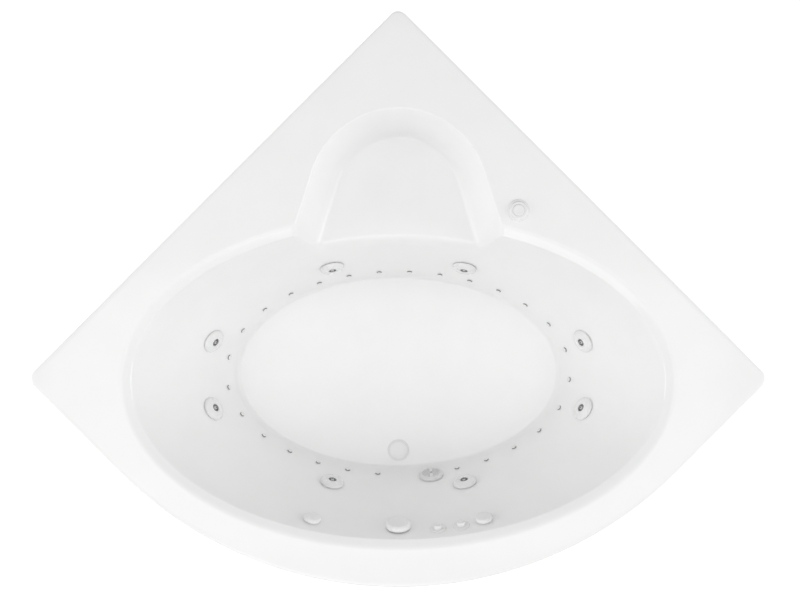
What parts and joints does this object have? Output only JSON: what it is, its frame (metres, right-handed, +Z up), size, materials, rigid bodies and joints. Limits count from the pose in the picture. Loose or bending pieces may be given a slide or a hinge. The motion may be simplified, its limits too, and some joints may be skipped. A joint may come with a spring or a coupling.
{
  "type": "corner bathtub",
  "caption": "Corner bathtub with a rounded front, oval basin, arched bench seat, water jets, air injectors, drain and control knobs, on a timber base with its pump and blower.",
  "frame": {"origin": "middle of the footprint at floor level", "axes": "+Z up, +Y towards the wall corner, +X right as seen from the front"},
  "size_m": [2.1302, 1.6693, 0.595],
  "materials": {
    "white_acrylic": "polished white cast acrylic above, glass fibre and resin below",
    "white_plastic": "moulded white plastic, satin to gloss",
    "white_pvc": "rigid white pipe plastic",
    "hose_plastic": "pale air hose plastic",
    "black_plastic": "glass-filled black moulding",
    "grey_plastic": "grey moulded case",
    "grille_plastic": "pale grey moulded grille",
    "motor_paint": "dark enamel on the motor case",
    "steel": "plain steel",
    "rubber": "pale soft rubber gaskets",
    "plywood": "rough plywood and batten"
  },
  "bodies": {
    "root": {"tub_shell": "white_acrylic", "base_board": "plywood", "cradle_risers": "plywood", "deck_stiffeners": "plywood", "jet_bodies": "white_pvc", "air_injector_caps": "white_plastic", "air_injector_bodies": "white_pvc", "water_manifold": "white_pvc", "air_ring": "hose_plastic", "suction_housing": "white_plastic", "suction_cover": "grille_plastic", "pump_volute": "black_plastic", "pump_motor": "motor_paint", "pump_bearings": "steel", "pump_bracket": "steel", "screws": "steel", "pump_unions": "white_pvc", "suction_pipe": "white_pvc", "inline_heater": "steel", "discharge_pipe": "white_pvc", "blower_housing": "black_plastic", "blower_motor": "steel", "blower_pipe": "hose_plastic", "drain_flange": "white_plastic", "drain_shoe": "white_pvc", "waste_tee": "white_pvc", "overflow_body": "white_pvc", "overflow_pipe": "white_pvc", "air_control_bodies": "white_pvc", "seals": "rubber", "jet_air_line": "white_pvc", "button_housings": "white_plastic", "lock_nuts": "black_plastic", "control_box": "grey_plastic", "cable_gland": "black_plastic"},
    "jet_face_1": {"jet_ring_1": "white_plastic"},
    "jet_eye_1": {"jet_nozzle_1": "white_plastic"},
    "jet_face_2": {"jet_ring_2": "white_plastic"},
    "jet_eye_2": {"jet_nozzle_2": "white_plastic"},
    "jet_face_3": {"jet_ring_3": "white_plastic"},
    "jet_eye_3": {"jet_nozzle_3": "white_plastic"},
    "jet_face_4": {"jet_ring_4": "white_plastic"},
    "jet_eye_4": {"jet_nozzle_4": "white_plastic"},
    "jet_face_5": {"jet_ring_5": "white_plastic"},
    "jet_eye_5": {"jet_nozzle_5": "white_plastic"},
    "jet_face_6": {"jet_ring_6": "white_plastic"},
    "jet_eye_6": {"jet_nozzle_6": "white_plastic"},
    "jet_face_7": {"jet_ring_7": "white_plastic"},
    "jet_eye_7": {"jet_nozzle_7": "white_plastic"},
    "jet_face_8": {"jet_ring_8": "white_plastic"},
    "jet_eye_8": {"jet_nozzle_8": "white_plastic"},
    "overflow_turner": {"overflow_knob": "white_plastic"},
    "stopper": {"drain_stopper": "white_plastic"},
    "air_knob_left": {"air_control_knob_left": "white_plastic"},
    "air_knob_right": {"air_control_knob_right": "white_plastic"},
    "wall_button_1_body": {"wall_button_1": "white_plastic"},
    "wall_button_2_body": {"wall_button_2": "white_plastic"},
    "deck_button_body": {"deck_button": "white_plastic"},
    "pump_wheel": {"pump_rotor": "steel"},
    "blower_wheel": {"blower_rotor": "black_plastic"}
  },
  "joints": [
    {"name": "jet_turn_1", "type": "hinge", "parent": "root", "child": "jet_face_1", "pos_m": [0.58532, -0.34678, 0.291], "axis": [-0.7778, 0.409, 0.4772], "range_deg": [0, 90]},
    {"name": "jet_tilt_1", "type": "hinge", "parent": "jet_face_1", "child": "jet_eye_1", "pos_m": [0.58066, -0.34432, 0.29386], "axis": [-0.4654, -0.8851, 0], "range_deg": [-12, 12]},
    {"name": "jet_turn_2", "type": "hinge", "parent": "root", "child": "jet_face_2", "pos_m": [0.58532, -0.13082, 0.291], "axis": [-0.7778, -0.409, 0.4772], "range_deg": [0, 90]},
    {"name": "jet_tilt_2", "type": "hinge", "parent": "jet_face_2", "child": "jet_eye_2", "pos_m": [0.58066, -0.13328, 0.29386], "axis": [0.4654, -0.8851, 0], "range_deg": [-12, 12]},
    {"name": "jet_turn_3", "type": "hinge", "parent": "root", "child": "jet_face_3", "pos_m": [0.20968, 0.10241, 0.291], "axis": [-0.1983, -0.92, 0.338], "range_deg": [0, 90]},
    {"name": "jet_tilt_3", "type": "hinge", "parent": "jet_face_3", "child": "jet_eye_3", "pos_m": [0.20849, 0.09689, 0.29303], "axis": [0.9775, -0.2107, 0], "range_deg": [-12, 12]},
    {"name": "jet_turn_4", "type": "hinge", "parent": "root", "child": "jet_face_4", "pos_m": [-0.20968, 0.10241, 0.291], "axis": [0.1983, -0.92, 0.338], "range_deg": [0, 90]},
    {"name": "jet_tilt_4", "type": "hinge", "parent": "jet_face_4", "child": "jet_eye_4", "pos_m": [-0.20849, 0.09689, 0.29303], "axis": [0.9775, 0.2107, 0], "range_deg": [-12, 12]},
    {"name": "jet_turn_5", "type": "hinge", "parent": "root", "child": "jet_face_5", "pos_m": [-0.58532, -0.13082, 0.291], "axis": [0.7778, -0.409, 0.4772], "range_deg": [0, 90]},
    {"name": "jet_tilt_5", "type": "hinge", "parent": "jet_face_5", "child": "jet_eye_5", "pos_m": [-0.58066, -0.13328, 0.29386], "axis": [0.4654, 0.8851, 0], "range_deg": [-12, 12]},
    {"name": "jet_turn_6", "type": "hinge", "parent": "root", "child": "jet_face_6", "pos_m": [-0.58532, -0.34678, 0.291], "axis": [0.7778, 0.409, 0.4772], "range_deg": [0, 90]},
    {"name": "jet_tilt_6", "type": "hinge", "parent": "jet_face_6", "child": "jet_eye_6", "pos_m": [-0.58066, -0.34432, 0.29386], "axis": [-0.4654, 0.8851, 0], "range_deg": [-12, 12]},
    {"name": "jet_turn_7", "type": "hinge", "parent": "root", "child": "jet_face_7", "pos_m": [-0.20968, -0.58001, 0.291], "axis": [0.1983, 0.92, 0.338], "range_deg": [0, 90]},
    {"name": "jet_tilt_7", "type": "hinge", "parent": "jet_face_7", "child": "jet_eye_7", "pos_m": [-0.20849, -0.57449, 0.29303], "axis": [-0.9775, 0.2107, 0], "range_deg": [-12, 12]},
    {"name": "jet_turn_8", "type": "hinge", "parent": "root", "child": "jet_face_8", "pos_m": [0.20968, -0.58001, 0.291], "axis": [-0.1983, 0.92, 0.338], "range_deg": [0, 90]},
    {"name": "jet_tilt_8", "type": "hinge", "parent": "jet_face_8", "child": "jet_eye_8", "pos_m": [0.20849, -0.57449, 0.29303], "axis": [-0.9775, -0.2107, 0], "range_deg": [-12, 12]},
    {"name": "overflow_knob_turn", "type": "hinge", "parent": "root", "child": "overflow_turner", "pos_m": [0, -0.67641, 0.507], "axis": [0, 0.9453, 0.3261], "range_deg": [0, 90]},
    {"name": "stopper_lift", "type": "slide", "parent": "root", "child": "stopper", "axis": [0, 0, 1], "range_m": [0, 0.01]},
    {"name": "air_knob_turn_left", "type": "hinge", "parent": "root", "child": "air_knob_left", "pos_m": [-0.25478, -0.65294, 0.516], "axis": [0.1981, 0.9201, 0.3379], "range_deg": [0, 180]},
    {"name": "air_knob_turn_right", "type": "hinge", "parent": "root", "child": "air_knob_right", "pos_m": [0.25478, -0.65294, 0.516], "axis": [-0.1981, 0.9201, 0.3379], "range_deg": [0, 180]},
    {"name": "wall_button_1_press", "type": "slide", "parent": "root", "child": "wall_button_1_body", "axis": [0.0881, -0.9404, -0.3285], "range_m": [0, 0.004], "stiffness_N_per_m": 600},
    {"name": "wall_button_2_press", "type": "slide", "parent": "root", "child": "wall_button_2_body", "axis": [0.1416, -0.9325, -0.3322], "range_m": [0, 0.004], "stiffness_N_per_m": 600},
    {"name": "deck_button_press", "type": "slide", "parent": "root", "child": "deck_button_body", "axis": [0, 0, -1], "range_m": [0, 0.004], "stiffness_N_per_m": 800},
    {"name": "pump_spin", "type": "hinge", "parent": "root", "child": "pump_wheel", "pos_m": [0.735, -0.432, 0.112], "axis": [0, 1, 0], "continuous": true},
    {"name": "blower_spin", "type": "hinge", "parent": "root", "child": "blower_wheel", "pos_m": [-0.735, -0.2388, 0.1], "axis": [0, 0, 1], "continuous": true}
  ],
  "couplings": [
    {"joint": "stopper_lift", "follows": "overflow_knob_turn", "m_per_rad": 0.0063662}
  ]
}
